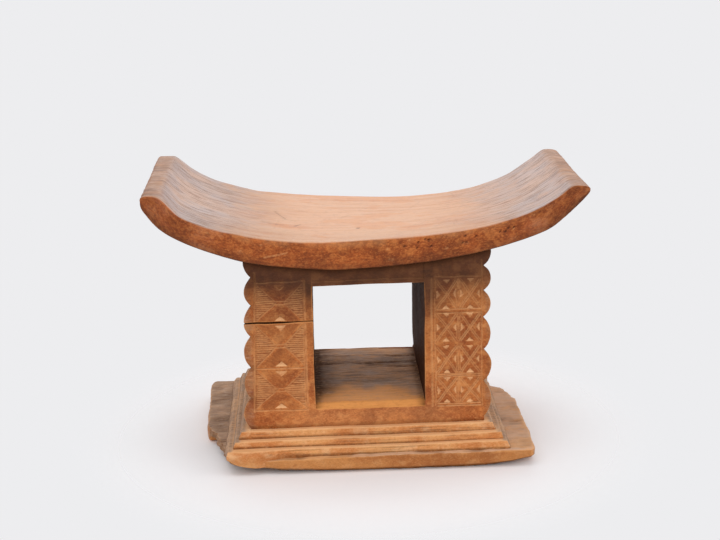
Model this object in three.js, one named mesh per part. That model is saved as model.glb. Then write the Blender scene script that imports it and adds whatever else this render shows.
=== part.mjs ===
// Carved neckrest in the form of a small stool: a curved seat on two scalloped walls
// around an open window, standing on a stepped plinth and a wide base slab.
// Millimetres, +Z up, +X along the seat, front towards -Y, origin under the middle.

import * as THREE from 'three';

// Overall size.
const LENGTH = 300;
const BASE_DEPTH = 162;
const TOTAL_HEIGHT = 196;

// Members meet face to face across this gap.
const GAP = 0.3;

// Seat.
const SEAT_DEPTH = 135;
const SEAT_TIP_FACET = 13;
const SEAT_TIP_LIP = 3;
const SEAT_TOP_MIDDLE = 159.5;
const SEAT_TOP_SPREAD = 34;
const SEAT_UNDER_MIDDLE = 141.5;
const SEAT_UNDER_SPREAD = 45;
const SEAT_TIP_UNDER_X = 143;
const SEAT_TIP_UNDER_Z = 181;
const SEAT_CURVE_STEPS = 24;
const SEAT_EDGE_ROUND = 1.5;

// Block under the seat: two walls, a lintel and a sill around the window.
const BLOCK_DEPTH = 125;
const LEFT_NOTCH_X = 81.5;
const RIGHT_NOTCH_X = 78.5;
const LOBE_REACH = 5.5;
const LOBE_PITCH = 21.6;
const LOBE_COUNT = 6;
const LOBE_ARC_STEPS = 8;
const WINDOW_HALF_WIDTH = 38;
const WINDOW_FLOOR = 43;
const WINDOW_TOP = 129.5;
const SILL_BEVEL_DEPTH = 5;
const SILL_BEVEL_HEIGHT = 3;
const WALL_TOP_STEPS = 5;
const LINTEL_TOP_STEPS = 8;
const CRACK_HEIGHT = 104;
const CRACK_WIDTH = 0.6;

// Plinth: three steps on a slab.
const SLAB_TOP = 12;
const STEP_TOPS = [17, 22, 27.5];
const STEP_NAMES = ['plinth_step_bottom', 'plinth_step_middle', 'plinth_step_top'];
const STEP_LEFTS = [102, 96, 92];
const STEP_RIGHTS = [96, 91.5, 86.5];
const STEP_HALF_DEPTHS = [77, 72.5, 67.5];
const STEP_CORNER = 3;
const STEP_EDGE_ROUND = 0.8;

// Base slab outline: half widths, and how far its broken and missing corners are cut back.
const SLAB_LEFT = 119;
const SLAB_RIGHT = 113;
const SLAB_CORNER = 5;
const SLAB_BREAK_ALONG = 50;
const SLAB_BREAK_ACROSS = 15;
const SLAB_MISSING_ALONG = 32;
const SLAB_MISSING_ACROSS = 16;
const SLAB_MISSING_SLOPE = 24;
const SLAB_EDGE_ROUND = 1.5;

const BLOCK_BOTTOM = STEP_TOPS[2];
const BLOCK_HALF_DEPTH = BLOCK_DEPTH / 2;
const BASE_HALF_DEPTH = BASE_DEPTH / 2;
const HALF_LENGTH = LENGTH / 2;

function wood(color, roughness) {
  return new THREE.MeshStandardMaterial({ color, roughness, metalness: 0 });
}

const wornWood = wood(0xbd8a5f, 0.55);
const frontWood = wood(0xaa6a3a, 0.6);
const darkWood = wood(0x6b4630, 0.65);
const greyWood = wood(0x8a705a, 0.8);

// A catenary through (0, middle) that reaches (halfWidth, end); a small spread is steeper at the ends.
function catenary(x, middle, end, halfWidth, spread) {
  const rise = (end - middle) / (Math.cosh(halfWidth / spread) - 1);
  return middle + rise * (Math.cosh(x / spread) - 1);
}

function seatTop(x) {
  const facetStart = HALF_LENGTH - SEAT_TIP_FACET;
  return catenary(x, SEAT_TOP_MIDDLE, TOTAL_HEIGHT, facetStart, SEAT_TOP_SPREAD);
}

function seatUnder(x) {
  return catenary(x, SEAT_UNDER_MIDDLE, SEAT_TIP_UNDER_Z, SEAT_TIP_UNDER_X, SEAT_UNDER_SPREAD);
}

// Extrudes an outline drawn in X and Z along Y, centred on Y = 0.
function extrudeAlongY(shape, depth, edgeRound) {
  const geometry = new THREE.ExtrudeGeometry(shape, {
    depth: depth - 2 * edgeRound,
    bevelEnabled: edgeRound > 0,
    bevelSize: edgeRound,
    bevelOffset: -edgeRound,
    bevelThickness: edgeRound,
    bevelSegments: 2,
    curveSegments: LOBE_ARC_STEPS,
  });
  geometry.translate(0, 0, -(depth - 2 * edgeRound) / 2);
  geometry.rotateX(Math.PI / 2);
  return geometry;
}

// Extrudes a plan outline drawn in X and Y up from bottom to top.
function extrudeUp(shape, bottom, top, edgeRound) {
  const geometry = new THREE.ExtrudeGeometry(shape, {
    depth: top - bottom - 2 * edgeRound,
    bevelEnabled: true,
    bevelSize: edgeRound,
    bevelOffset: -edgeRound,
    bevelThickness: edgeRound,
    bevelSegments: 2,
    curveSegments: 6,
  });
  geometry.translate(0, 0, bottom + edgeRound);
  return geometry;
}

function part(name, geometry, material) {
  const mesh = new THREE.Mesh(geometry, material);
  mesh.name = name;
  return mesh;
}

// Curved seat with a narrow level facet at each raised tip.
function makeSeat() {
  const facetStart = HALF_LENGTH - SEAT_TIP_FACET;
  const shape = new THREE.Shape();
  shape.moveTo(-HALF_LENGTH, TOTAL_HEIGHT - SEAT_TIP_LIP);
  for (let i = 0; i <= SEAT_CURVE_STEPS; i += 1) {
    const x = SEAT_TIP_UNDER_X * ((2 * i) / SEAT_CURVE_STEPS - 1);
    shape.lineTo(x, seatUnder(x));
  }
  shape.lineTo(HALF_LENGTH, TOTAL_HEIGHT - SEAT_TIP_LIP);
  shape.lineTo(HALF_LENGTH - 1, TOTAL_HEIGHT);
  for (let i = 0; i <= SEAT_CURVE_STEPS; i += 1) {
    const x = facetStart - (2 * facetStart * i) / SEAT_CURVE_STEPS;
    shape.lineTo(x, seatTop(x));
  }
  shape.lineTo(-HALF_LENGTH + 1, TOTAL_HEIGHT);
  return part('seat', extrudeAlongY(shape, SEAT_DEPTH, SEAT_EDGE_ROUND), wornWood);
}

// Points of a wall's scalloped outer side, in +X, from the block's bottom up to the seat.
function scallopedSide(notchX) {
  const halfChord = LOBE_PITCH / 2;
  const radius = (halfChord * halfChord + LOBE_REACH * LOBE_REACH) / (2 * LOBE_REACH);
  const halfAngle = Math.asin(halfChord / radius);
  const points = [];
  for (let lobe = 0; lobe < LOBE_COUNT; lobe += 1) {
    const middle = BLOCK_BOTTOM + LOBE_PITCH * (lobe + 0.5);
    for (let i = 0; i < LOBE_ARC_STEPS; i += 1) {
      const angle = halfAngle * ((2 * i) / LOBE_ARC_STEPS - 1);
      const x = notchX + LOBE_REACH - radius * (1 - Math.cos(angle));
      points.push(new THREE.Vector2(x, middle + radius * Math.sin(angle)));
    }
  }
  return points.filter((p) => p.y < seatUnder(p.x) - 2 * GAP);
}

// Outline of a wall from bottom up to top, or up to the seat where top is null.
// side is -1 for the left wall and 1 for the right.
function wallShape(side, bottom, top) {
  const inner = WINDOW_HALF_WIDTH;
  const limit = top === null ? TOTAL_HEIGHT : top;
  const notchX = side > 0 ? RIGHT_NOTCH_X : LEFT_NOTCH_X;
  const outer = scallopedSide(notchX).filter((p) => p.y > bottom + GAP && p.y < limit - GAP);
  const lastX = outer[outer.length - 1].x;
  const outline = [new THREE.Vector2(inner, bottom), new THREE.Vector2(outer[0].x, bottom), ...outer];
  for (let i = 0; i <= WALL_TOP_STEPS; i += 1) {
    const x = lastX + ((inner - lastX) * i) / WALL_TOP_STEPS;
    outline.push(new THREE.Vector2(x, top === null ? seatUnder(x) - GAP : top));
  }
  const placed = outline.map((p) => new THREE.Vector2(p.x * side, p.y));
  return new THREE.Shape(side > 0 ? placed : placed.reverse());
}

function makeWalls() {
  const bottom = BLOCK_BOTTOM + GAP;
  const crackBottom = CRACK_HEIGHT - CRACK_WIDTH / 2;
  const crackTop = CRACK_HEIGHT + CRACK_WIDTH / 2;
  const outlines = {
    left_wall_lower: wallShape(-1, bottom, crackBottom),
    left_wall_upper: wallShape(-1, crackTop, null),
    right_wall: wallShape(1, bottom, null),
  };
  return Object.entries(outlines).map(([name, shape]) => {
    return part(name, extrudeAlongY(shape, BLOCK_DEPTH, 0), frontWood);
  });
}

// Band between the walls, over the window and under the seat.
function makeLintel() {
  const half = WINDOW_HALF_WIDTH - GAP;
  const shape = new THREE.Shape();
  shape.moveTo(-half, WINDOW_TOP);
  shape.lineTo(half, WINDOW_TOP);
  for (let i = 0; i <= LINTEL_TOP_STEPS; i += 1) {
    const x = half - (2 * half * i) / LINTEL_TOP_STEPS;
    shape.lineTo(x, seatUnder(x) - GAP);
  }
  return part('lintel', extrudeAlongY(shape, BLOCK_DEPTH, 0), darkWood);
}

// Window floor between the walls, bevelled along its front and back edges.
function makeSill() {
  const width = 2 * (WINDOW_HALF_WIDTH - GAP);
  const flat = BLOCK_HALF_DEPTH - SILL_BEVEL_DEPTH;
  const shape = new THREE.Shape();
  shape.moveTo(-BLOCK_HALF_DEPTH, BLOCK_BOTTOM + GAP);
  shape.lineTo(BLOCK_HALF_DEPTH, BLOCK_BOTTOM + GAP);
  shape.lineTo(BLOCK_HALF_DEPTH, WINDOW_FLOOR - SILL_BEVEL_HEIGHT);
  shape.lineTo(flat, WINDOW_FLOOR);
  shape.lineTo(-flat, WINDOW_FLOOR);
  shape.lineTo(-BLOCK_HALF_DEPTH, WINDOW_FLOOR - SILL_BEVEL_HEIGHT);
  const geometry = extrudeAlongY(shape, width, 0);
  geometry.rotateZ(Math.PI / 2);
  return part('window_sill', geometry, greyWood);
}

function roundedRectangle(left, right, halfDepth, radius) {
  const shape = new THREE.Shape();
  shape.absarc(right - radius, halfDepth - radius, radius, 0, Math.PI / 2, false);
  shape.absarc(left + radius, halfDepth - radius, radius, Math.PI / 2, Math.PI, false);
  shape.absarc(left + radius, -halfDepth + radius, radius, Math.PI, 1.5 * Math.PI, false);
  shape.absarc(right - radius, -halfDepth + radius, radius, 1.5 * Math.PI, 2 * Math.PI, false);
  return shape;
}

function makeStep(index) {
  const bottom = (index === 0 ? SLAB_TOP : STEP_TOPS[index - 1]) + GAP;
  const halfDepth = STEP_HALF_DEPTHS[index];
  const shape = roundedRectangle(-STEP_LEFTS[index], STEP_RIGHTS[index], halfDepth, STEP_CORNER);
  const geometry = extrudeUp(shape, bottom, STEP_TOPS[index], STEP_EDGE_ROUND);
  return part(STEP_NAMES[index], geometry, frontWood);
}

// Slab: broken away at its front left corner, and its rear right corner is missing.
function makeSlab() {
  const depth = BASE_HALF_DEPTH;
  const shape = new THREE.Shape();
  shape.moveTo(-SLAB_LEFT + SLAB_BREAK_ACROSS + SLAB_CORNER, -depth);
  shape.lineTo(SLAB_RIGHT - SLAB_CORNER, -depth);
  shape.lineTo(SLAB_RIGHT, -depth + SLAB_CORNER);
  shape.lineTo(SLAB_RIGHT, depth - SLAB_MISSING_ALONG - SLAB_MISSING_SLOPE);
  shape.lineTo(SLAB_RIGHT - SLAB_CORNER, depth - SLAB_MISSING_ALONG - SLAB_MISSING_SLOPE / 2);
  shape.lineTo(SLAB_RIGHT - 2 * SLAB_CORNER, depth - SLAB_MISSING_ALONG);
  shape.lineTo(SLAB_RIGHT - SLAB_MISSING_ACROSS, depth - SLAB_MISSING_ALONG);
  shape.lineTo(SLAB_RIGHT - SLAB_MISSING_ACROSS, depth);
  shape.lineTo(-SLAB_LEFT + SLAB_CORNER, depth);
  shape.lineTo(-SLAB_LEFT, depth - SLAB_CORNER);
  shape.lineTo(-SLAB_LEFT, -depth + SLAB_BREAK_ALONG);
  shape.lineTo(-SLAB_LEFT + 0.7 * SLAB_BREAK_ACROSS, -depth + 0.75 * SLAB_BREAK_ALONG);
  shape.lineTo(-SLAB_LEFT + 0.8 * SLAB_BREAK_ACROSS, -depth + 0.4 * SLAB_BREAK_ALONG);
  shape.lineTo(-SLAB_LEFT + SLAB_BREAK_ACROSS, -depth + SLAB_CORNER);
  return part('base_slab', extrudeUp(shape, 0, SLAB_TOP, SLAB_EDGE_ROUND), greyWood);
}

const neckrest = new THREE.Group();
neckrest.name = 'neckrest';
neckrest.add(makeSeat());
neckrest.add(...makeWalls());
neckrest.add(makeLintel());
neckrest.add(makeSill());
for (let index = STEP_NAMES.length - 1; index >= 0; index -= 1) {
  neckrest.add(makeStep(index));
}
neckrest.add(makeSlab());

export default neckrest;
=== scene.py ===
"""Carved wooden headrest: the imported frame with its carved, worn wood surfaces.

Shapes are worked out in millimetres and scaled to metres when a mesh is made. +X runs along the seat, +Z is
up and the front faces -Y. Every member of the carving is one closed mesh that stands for one CAD node.
"""
import itertools
import math

import bpy
import numpy as np
from mathutils import Matrix, Vector


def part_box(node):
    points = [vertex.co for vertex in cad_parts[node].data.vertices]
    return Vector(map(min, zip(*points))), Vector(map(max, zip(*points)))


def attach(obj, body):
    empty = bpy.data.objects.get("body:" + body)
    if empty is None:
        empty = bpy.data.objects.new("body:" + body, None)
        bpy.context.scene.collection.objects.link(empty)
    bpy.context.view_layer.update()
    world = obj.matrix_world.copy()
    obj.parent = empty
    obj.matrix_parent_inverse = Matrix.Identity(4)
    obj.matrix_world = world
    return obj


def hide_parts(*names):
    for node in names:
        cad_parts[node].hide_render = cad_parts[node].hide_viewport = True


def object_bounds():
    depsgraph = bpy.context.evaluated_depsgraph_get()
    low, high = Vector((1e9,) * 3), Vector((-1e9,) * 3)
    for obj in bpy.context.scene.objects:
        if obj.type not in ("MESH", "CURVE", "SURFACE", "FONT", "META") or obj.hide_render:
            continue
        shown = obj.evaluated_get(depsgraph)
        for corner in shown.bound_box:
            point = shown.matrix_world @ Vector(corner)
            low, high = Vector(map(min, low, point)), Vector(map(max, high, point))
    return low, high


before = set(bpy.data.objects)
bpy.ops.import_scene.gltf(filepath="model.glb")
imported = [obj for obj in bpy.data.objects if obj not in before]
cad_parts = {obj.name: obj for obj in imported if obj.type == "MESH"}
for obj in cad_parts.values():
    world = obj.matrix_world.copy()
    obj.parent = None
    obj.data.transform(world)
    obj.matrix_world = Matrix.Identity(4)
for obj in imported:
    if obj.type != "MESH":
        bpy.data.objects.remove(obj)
cad_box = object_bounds()

MM = 0.001


def node_box(node):
    """Lowest and highest corner of a CAD node, in millimetres."""
    low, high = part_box(node)
    return np.array(low) / MM, np.array(high) / MM


SEAT_HIGH = node_box("seat")[1]
LEFT_LOW, LEFT_HIGH = node_box("left_wall_lower")
RIGHT_LOW, RIGHT_HIGH = node_box("right_wall")
SLAB_LOW, SLAB_HIGH = node_box("base_slab")

WINDOW_X = RIGHT_LOW[0]
WINDOW_FLOOR = node_box("window_sill")[1][2]
WINDOW_TOP = node_box("lintel")[0][2]
BLOCK_Y = RIGHT_HIGH[1]
BLOCK_BOTTOM = RIGHT_LOW[2]
# How far a member reaches into its neighbour, so that no gap shows.
BURY = 2.5

# Outlines of the seat's front, millimetres from the frame's origin: top and underside, left to right.
SEAT_TOP = [(-150, 192.6), (-149.3, 194.6), (-147.2, 195.6), (-141.5, 195.5), (-138, 194.4), (-135.2, 192),
            (-130, 186.3), (-124, 181), (-108, 173.7), (-90, 168.6), (-74, 164.5), (-36, 160.4),
            (2, 161.2), (42, 163.3), (80.4, 168.3), (109.3, 177.1), (122, 183.2), (131, 188.9), (136, 193.1),
            (139, 194.6), (144, 194.5), (148.4, 193.3), (150, 191.8)]
SEAT_UNDER = [(-150, 191), (-149.2, 186.2), (-146.8, 182.2), (-139, 172.9), (-131.5, 167.4), (-117.6, 160.1),
              (-83.5, 148.3), (-36.4, 141.8), (-8, 141), (41.7, 144.5), (80.4, 151.2), (121.3, 163.9),
              (133.4, 172.6), (142.6, 181), (149, 188.4), (150, 190.4)]
# How much higher the seat's back edge is than its front edge, along X: the saddle is a little twisted.
SEAT_TWIST = [(-151, 0.6), (-141, 1.9), (-128, 4.9), (-110, 3.4), (-92, 2.6), (-60, 3.4), (-28, 2.6),
              (4, -0.7), (32, -2.5), (84, -3.8), (108, -3.4), (127, -1.3), (140, -1.4), (151, -1.2)]
# How much the seat's ends curve inwards halfway across, as a share of X.
LEFT_END_HOLLOW = 0.0015
RIGHT_END_HOLLOW = 0.005
# A light cut in the seat's front: both ends as X and the height above the underside.
FRONT_CUT = ((-70, 5.5), (-53, 10.5))
# A small dark spot on the seat's top.
SEAT_SPOT = (-5, -33)
# Scratches on the seat's top: both ends as X and Y, their width and depth.
SEAT_SCRATCHES = [((-77, 3), (-66, 7), 1.4, 0.14), ((-64, 12), (-54, -11), 1.6, 0.35),
                  ((-73, -22), (-55, -27), 1.7, 0.35), ((-50, -29), (-44, -20), 2.2, 0.4),
                  ((-60, -6), (-46, -14), 1.4, 0.2), ((-19, -4), (-9, 6), 1.4, 0.15),
                  ((30, -20), (62, -26), 1.4, 0.12), ((60, 22), (92, 14), 1.5, 0.2)]

# Heights of the notches between the scallops of each wall.
LEFT_NOTCHES = [27.5, 49.5, 71.6, 94.1, 116, 135.8, 157]
RIGHT_NOTCHES = [31, 56.8, 79.6, 103, 121.8, 139.4, 158]
LEFT_PANEL_X = (-76.8, -43.3)
RIGHT_PANEL_X = (45.2, 77.4)
PANEL_TOP = 132.2
PANEL_BOTTOM = 40.2
LEFT_ROWS = [PANEL_BOTTOM, 71, 103.4, PANEL_TOP]
RIGHT_ROWS = [PANEL_BOTTOM, 62, 84.6, 107.9, PANEL_TOP]
# How far the two lines under each of the right panel's rows are from its lower edge; one row has none.
RIGHT_ROW_LINES = [0.85, 0.7, 0, 1.3]
HATCH_PITCH = 1.52
# How much further out the left wall's side is at the panel's bottom than at its top.
LEFT_LEAN = 3.4
# Height of the crack across the left wall.
CRACK_Z = 103.9

# The slab's front curls up at both ends: X and the height of its underside, before it is scaled.
SLAB_CURL = [(-102, 12), (-94, 7.4), (-81, 4.6), (-62, 2.4), (-30, 0.5), (10, 0), (60, 0), (78, 0.6),
             (96, 2.6), (110, 6), (113, 8.5)]
CURL_AMOUNT = 0.92
# Left and right ends of the slab, from the front to the back: Y and X.
SLAB_LEFT_END = [(-81, -95.5), (-79.5, -97.5), (-75, -99), (-62, -100.8), (-52, -104), (-46, -107.2),
                 (-38, -108.6), (-30, -109.3), (-24, -112.5), (-19, -115.5), (-14, -117), (-4, -117.6),
                 (42, -118.6), (74, -119), (78.5, -118.2), (81, -116)]
SLAB_RIGHT_END = [(-81, 110.5), (-78, 112.3), (-70, 113), (-40, 112.9), (5, 112.3), (15, 112.6), (21, 112),
                  (25, 109.2), (33, 108.4), (36, 106.4), (42, 105.4), (46, 102.8), (48.5, 98), (52, 96.8),
                  (81, 96.5)]
# The middle of the knot at the slab's left end.
SLAB_KNOT = (-111, -8)


# ---------------------------------------------------------------- noise and curves

# Odd factors that scramble a cell's place into a number that looks random.
HASH_PRIMES = [np.uint64(prime) for prime in (374761393, 668265263, 2246822519, 3266489917)]
LOW_32_BITS = np.uint64(0xFFFFFFFF)


def value_noise(points, seed):
    """Smooth noise from -1 to 1 at points, with cells one unit across."""
    cell = np.floor(points).astype(np.int64)
    part = points - cell
    part = part * part * (3 - 2 * part)
    total = np.zeros(len(points))
    for corner in itertools.product((0, 1), repeat=3):
        c = (cell + np.array(corner)).astype(np.uint64)
        mixed = c[:, 0] * HASH_PRIMES[0] + c[:, 1] * HASH_PRIMES[1] + c[:, 2] * HASH_PRIMES[2]
        mixed = (mixed + np.uint64(seed) * HASH_PRIMES[3]) & LOW_32_BITS
        mixed = ((mixed ^ (mixed >> np.uint64(15))) * HASH_PRIMES[2]) & LOW_32_BITS
        mixed = ((mixed ^ (mixed >> np.uint64(13))) * HASH_PRIMES[3]) & LOW_32_BITS
        value = (mixed >> np.uint64(8)).astype(float) / 2 ** 23 - 1
        weight = np.prod(np.where(np.array(corner) == 1, part, 1 - part), axis=1)
        total += value * weight
    return total


def noise(points, size, seed, octaves=3, stretch=(1, 1, 1)):
    """Noise from about -1 to 1 with features of that size in millimetres, longer where stretch is over 1."""
    scaled = points / (size * np.array(stretch, float))
    total = np.zeros(len(points))
    for octave in range(octaves):
        total += value_noise(scaled * 2 ** octave + 37.7 * octave, seed + octave) * 0.5 ** octave
    return total


def smooth(low, high, value):
    t = np.clip((value - low) / (high - low), 0, 1)
    return t * t * (3 - 2 * t)


def curve_points(outline, count_per_span=24):
    """A smooth curve through an outline's points, which may be unevenly spaced."""
    p = np.array(outline, float)
    p = np.vstack([2 * p[0] - p[1], p, 2 * p[-1] - p[-2]])
    t = np.linspace(0, 1, count_per_span, endpoint=False)[:, None]
    spans = []
    for a, b, c, d in zip(p, p[1:], p[2:], p[3:]):
        before, here, after = (math.sqrt(math.dist(*pair)) for pair in ((a, b), (b, c), (c, d)))
        leave = c - b + here * ((b - a) / before - (c - a) / (before + here))
        arrive = c - b + here * ((d - c) / after - (d - b) / (here + after))
        spans.append(b + t * leave + t * t * (3 * (c - b) - 2 * leave - arrive)
                     + t ** 3 * (leave + arrive - 2 * (c - b)))
    return np.vstack([*spans, p[-2:-1]])


SEAT_TOP_CURVE = curve_points(SEAT_TOP)
SEAT_UNDER_CURVE = curve_points(SEAT_UNDER)
SEAT_TWIST_CURVE = curve_points(SEAT_TWIST)


def seat_under(x):
    """Height of the seat's underside along its front."""
    return np.interp(x, SEAT_UNDER_CURVE[:, 0], SEAT_UNDER_CURVE[:, 1])


def along(curve, share):
    """Points at shares of a curve's length."""
    length = np.concatenate([[0], np.cumsum(np.hypot(*np.diff(curve, axis=0).T))])
    return np.stack([np.interp(share * length[-1], length, curve[:, i]) for i in (0, 1)], 1)


# ---------------------------------------------------------------- meshes

def spaced(*stops):
    """Places along a line: each stop is its place and the step from there to the next stop."""
    parts = []
    for (start, step), (end, _) in zip(stops, stops[1:]):
        parts.append(np.linspace(start, end, max(1, round((end - start) / step)), endpoint=False))
    return np.concatenate([*parts, [stops[-1][0]]])


def box_lattice(xs, ys, zs):
    """The closed surface of a box divided at xs, ys and zs: its points, and the quads of each side."""
    shape = (len(xs), len(ys), len(zs))
    shell = np.zeros(shape, bool)
    shell[[0, -1]] = True
    shell[:, [0, -1]] = True
    shell[:, :, [0, -1]] = True
    index = np.full(shape, -1)
    index[shell] = np.arange(shell.sum())
    i, j, k = np.nonzero(shell)
    points = np.stack([xs[i], ys[j], zs[k]], 1)

    def quads(grid, flip):
        q = np.stack([grid[:-1, :-1], grid[1:, :-1], grid[1:, 1:], grid[:-1, 1:]], -1).reshape(-1, 4)
        return q[:, ::-1] if flip else q

    sides = {
        "-x": quads(index[0], True), "+x": quads(index[-1], False),
        "-y": quads(index[:, 0], False), "+y": quads(index[:, -1], True),
        "-z": quads(index[:, :, 0], True), "+z": quads(index[:, :, -1], False),
    }
    return points, sides


def round_edges(points, radius, flat=()):
    """Rounds a box's edges, apart from the sides in flat. Also returns how near each point is to an arris."""
    low, high = points.min(0), points.max(0)
    radius = np.broadcast_to(np.asarray(radius, float), (len(points),))[:, None]
    inner_low = np.repeat(low[None], len(points), 0) + radius
    inner_high = np.repeat(high[None], len(points), 0) - radius
    for side in flat:
        axis = "xyz".index(side[1])
        if side[0] == "-":
            inner_low[:, axis] = low[axis] - 1
        else:
            inner_high[:, axis] = high[axis] + 1
    core = np.clip(points, inner_low, inner_high)
    out = points - core
    reach = np.maximum(np.linalg.norm(out, axis=1, keepdims=True), 1e-9)
    edge = 1.414 * np.sort(np.abs(out), axis=1)[:, 1] / reach[:, 0]
    moved = np.where(reach > 1e-6, core + out * radius / reach, points)
    return moved, np.clip(edge, 0, 1)


def surface_normals(points, quads):
    """Normals at the points, from these quads alone."""
    a, b, c, d = (points[quads[:, i]] for i in range(4))
    face = np.cross(c - a, d - b)
    total = np.zeros_like(points)
    for i in range(4):
        for axis in range(3):
            total[:, axis] += np.bincount(quads[:, i], face[:, axis], len(points))
    return total / np.maximum(np.linalg.norm(total, axis=1, keepdims=True), 1e-12)


def shown_quads(points, sides, buried=None, skip=()):
    """The quads that aren't hidden against a neighbour."""
    quads = np.vstack([q for side, q in sides.items() if side not in skip])
    if buried is not None:
        quads = quads[~buried(points[quads].mean(1))]
    return quads


def sharp_edges(mesh, points, quads):
    """Marks edges whose two faces meet at more than 60 degrees, so that shading doesn't bend round them."""
    a, b, c, d = (points[quads[:, i]] for i in range(4))
    normals = np.cross(c - a, d - b)
    normals /= np.maximum(np.linalg.norm(normals, axis=1, keepdims=True), 1e-12)
    edge_of_loop = np.zeros(len(mesh.loops), int)
    mesh.loops.foreach_get("edge_index", edge_of_loop)
    order = np.argsort(edge_of_loop, kind="stable")
    pairs = (order // 4).reshape(-1, 2)
    sharp = np.sum(normals[pairs[:, 0]] * normals[pairs[:, 1]], axis=1) < 0.5
    mesh.edges.foreach_set("use_edge_sharp", sharp)


def mesh_object(name, points, sides, tones, material, grain):
    """One closed mesh, with the tones and the grain's coordinates that its material reads at each point."""
    quads = np.vstack(list(sides.values()))
    points = np.clip(points, np.array(cad_box[0]) / MM, np.array(cad_box[1]) / MM)
    mesh = bpy.data.meshes.new(name)
    mesh.from_pydata((points * MM).tolist(), [], quads.tolist())
    mesh.polygons.foreach_set("use_smooth", np.ones(len(quads), bool))
    sharp_edges(mesh, points, quads)
    for attribute_name, columns in tones.items():
        attribute = mesh.color_attributes.new(attribute_name, "FLOAT_COLOR", "POINT")
        rgba = np.ones((len(points), 4), np.float32)
        for column, values in enumerate(columns):
            rgba[:, column] = np.clip(values, 0, 1)
        attribute.data.foreach_set("color", rgba.ravel())
    along_grain = mesh.attributes.new("grain", "FLOAT_VECTOR", "POINT")
    along_grain.data.foreach_set("vector", (grain * MM).astype(np.float32).ravel())
    mesh.materials.append(material)
    mesh.update()
    piece = bpy.data.objects.new(name, mesh)
    bpy.context.scene.collection.objects.link(piece)
    return piece


def add_piece(node, points, sides, tones, material, grain=None):
    """Adds the mesh that stands for a CAD node. Its grain runs along X, or along X of the points in grain."""
    piece = mesh_object(node + "_carved", points, sides, tones, material, points if grain is None else grain)
    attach(piece, "root")
    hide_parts(node)


# ---------------------------------------------------------------- knife cuts

def groove(distance, width, depth):
    """Depth of a V cut at a distance from its line."""
    return depth * np.clip(1 - np.abs(distance) * 2 / width, 0, 1)


def stroke(x, z, start, end, width, depth, fade=1.2):
    """Depth of a straight knife cut that runs out to nothing over fade at both ends."""
    (ax, az), (bx, bz) = start, end
    length = math.hypot(bx - ax, bz - az)
    run = ((x - ax) * (bx - ax) + (z - az) * (bz - az)) / length
    across = ((x - ax) * (bz - az) - (z - az) * (bx - ax)) / length
    ends = np.clip(np.minimum(run, length - run) / fade, 0, 1)
    return groove(across, width, depth) * ends


def chip(x, z, middle, towards, width, height, depth):
    """A three-sided chip with its base centred on middle and its tip along towards.

    Its floor slopes in from the base and ends at two steep sides. Returns its depth and where its floor is.
    """
    along_tip = (x - middle[0]) * towards[0] + (z - middle[1]) * towards[1]
    across = np.abs((x - middle[0]) * towards[1] - (z - middle[1]) * towards[0])
    slant = math.hypot(height, width / 2)
    to_side = ((height - along_tip) * width / 2 - across * height) / slant
    floor = along_tip * depth / height * 1.5
    side = to_side * 2.4
    cut = np.clip(np.minimum(floor, side), 0, depth)
    return cut, (cut > 0.02) & (floor < side)


class Carving:
    """Adds up cuts on a face: their depth, and how far each point is a fresh chip or in a dimmed area:
    painted shade between hatch lines and over crossed cells, and a darker plain middle in hourglass cells.
    """

    def __init__(self, x, z, seed):
        warp = np.stack([x, np.zeros(len(x)), z], 1)
        self.x = x + 0.35 * noise(warp, 9, seed, 2)
        self.z = z + 0.35 * noise(warp, 9, seed + 5, 2)
        self.force = 1 + 0.35 * noise(warp, 6, seed + 9, 2)
        self.depth = np.zeros(len(x))
        self.fresh = np.zeros(len(x))
        self.dim = np.zeros(len(x))
        self.random = np.random.default_rng(seed)

    def line(self, start, end, width=1.0, depth=0.5, fade=1.2):
        cut = stroke(self.x, self.z, start, end, width, depth, fade) * self.force
        self.depth = np.maximum(self.depth, cut)

    def dim_area(self, chosen, amount):
        self.dim = np.maximum(self.dim, chosen * amount)

    def pit(self, middle, towards, width, height, depth=1.1, pale=1.0):
        """Cuts a chip, with its floor as pale as fresh wood at 1."""
        cut, floor = chip(self.x, self.z, middle, towards, width, height, depth)
        self.depth = np.maximum(self.depth, cut)
        self.fresh = np.maximum(self.fresh, floor * pale)


def carve_hourglass_cell(carving, low, high, bottom, top, top_pale):
    """One cell: an hourglass between two hatched triangles, with a chip near its top and bottom."""
    middle, centre = (low + high) / 2, (bottom + top) / 2
    half_width, half_height = (high - low) / 2, (top - bottom) / 2
    for side in (-1, 1):
        for end in (bottom + 1, top - 1):
            carving.line((middle + side * (half_width - 0.8), end), (middle + side * 2.2, centre), 0.9, 0.4)
        for z_cut in np.arange(bottom + 1.8, top - 1.2, HATCH_PITCH):
            share = 1 - abs(z_cut - centre) / half_height
            reach = share * half_width * 0.9 + carving.random.uniform(-1.3, 0.3)
            if reach > 1.5:
                z_end = z_cut + carving.random.uniform(-0.4, 0.4)
                start = (middle + side * (half_width - 0.3), z_cut + carving.random.uniform(-0.15, 0.15))
                depth = carving.random.uniform(0.4, 0.75)
                carving.line(start, (middle + side * (half_width - reach), z_end), 1.05, depth, 1.8)
    # Painted shade between the hatch lines; the plain middle of the hourglass is darker too.
    hatched = half_width * 0.9 * (1 - np.abs(carving.z - centre) / half_height)
    inward = half_width - np.abs(carving.x - middle)
    carving.dim_area((inward > 0) & (inward < hatched), 0.5)
    carving.dim_area((inward > hatched + 2) & (np.abs(carving.z - centre) < half_height - 1), 0.3)
    for rise in (-1.3, 0.9):
        carving.line((middle - 6, centre + rise), (middle + 6, centre + rise + 0.2), 0.9, 0.4)
    carving.pit((middle + 0.4, bottom + 1.5), (0, 1), 7.8, 3.8, 1.2)
    carving.pit((middle + 0.2, top - 1.8), (0, -1), 7.6, 4.2, 1.1, top_pale)
    carving.line((low, bottom), (high, bottom), 1.1, 0.6)


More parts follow.
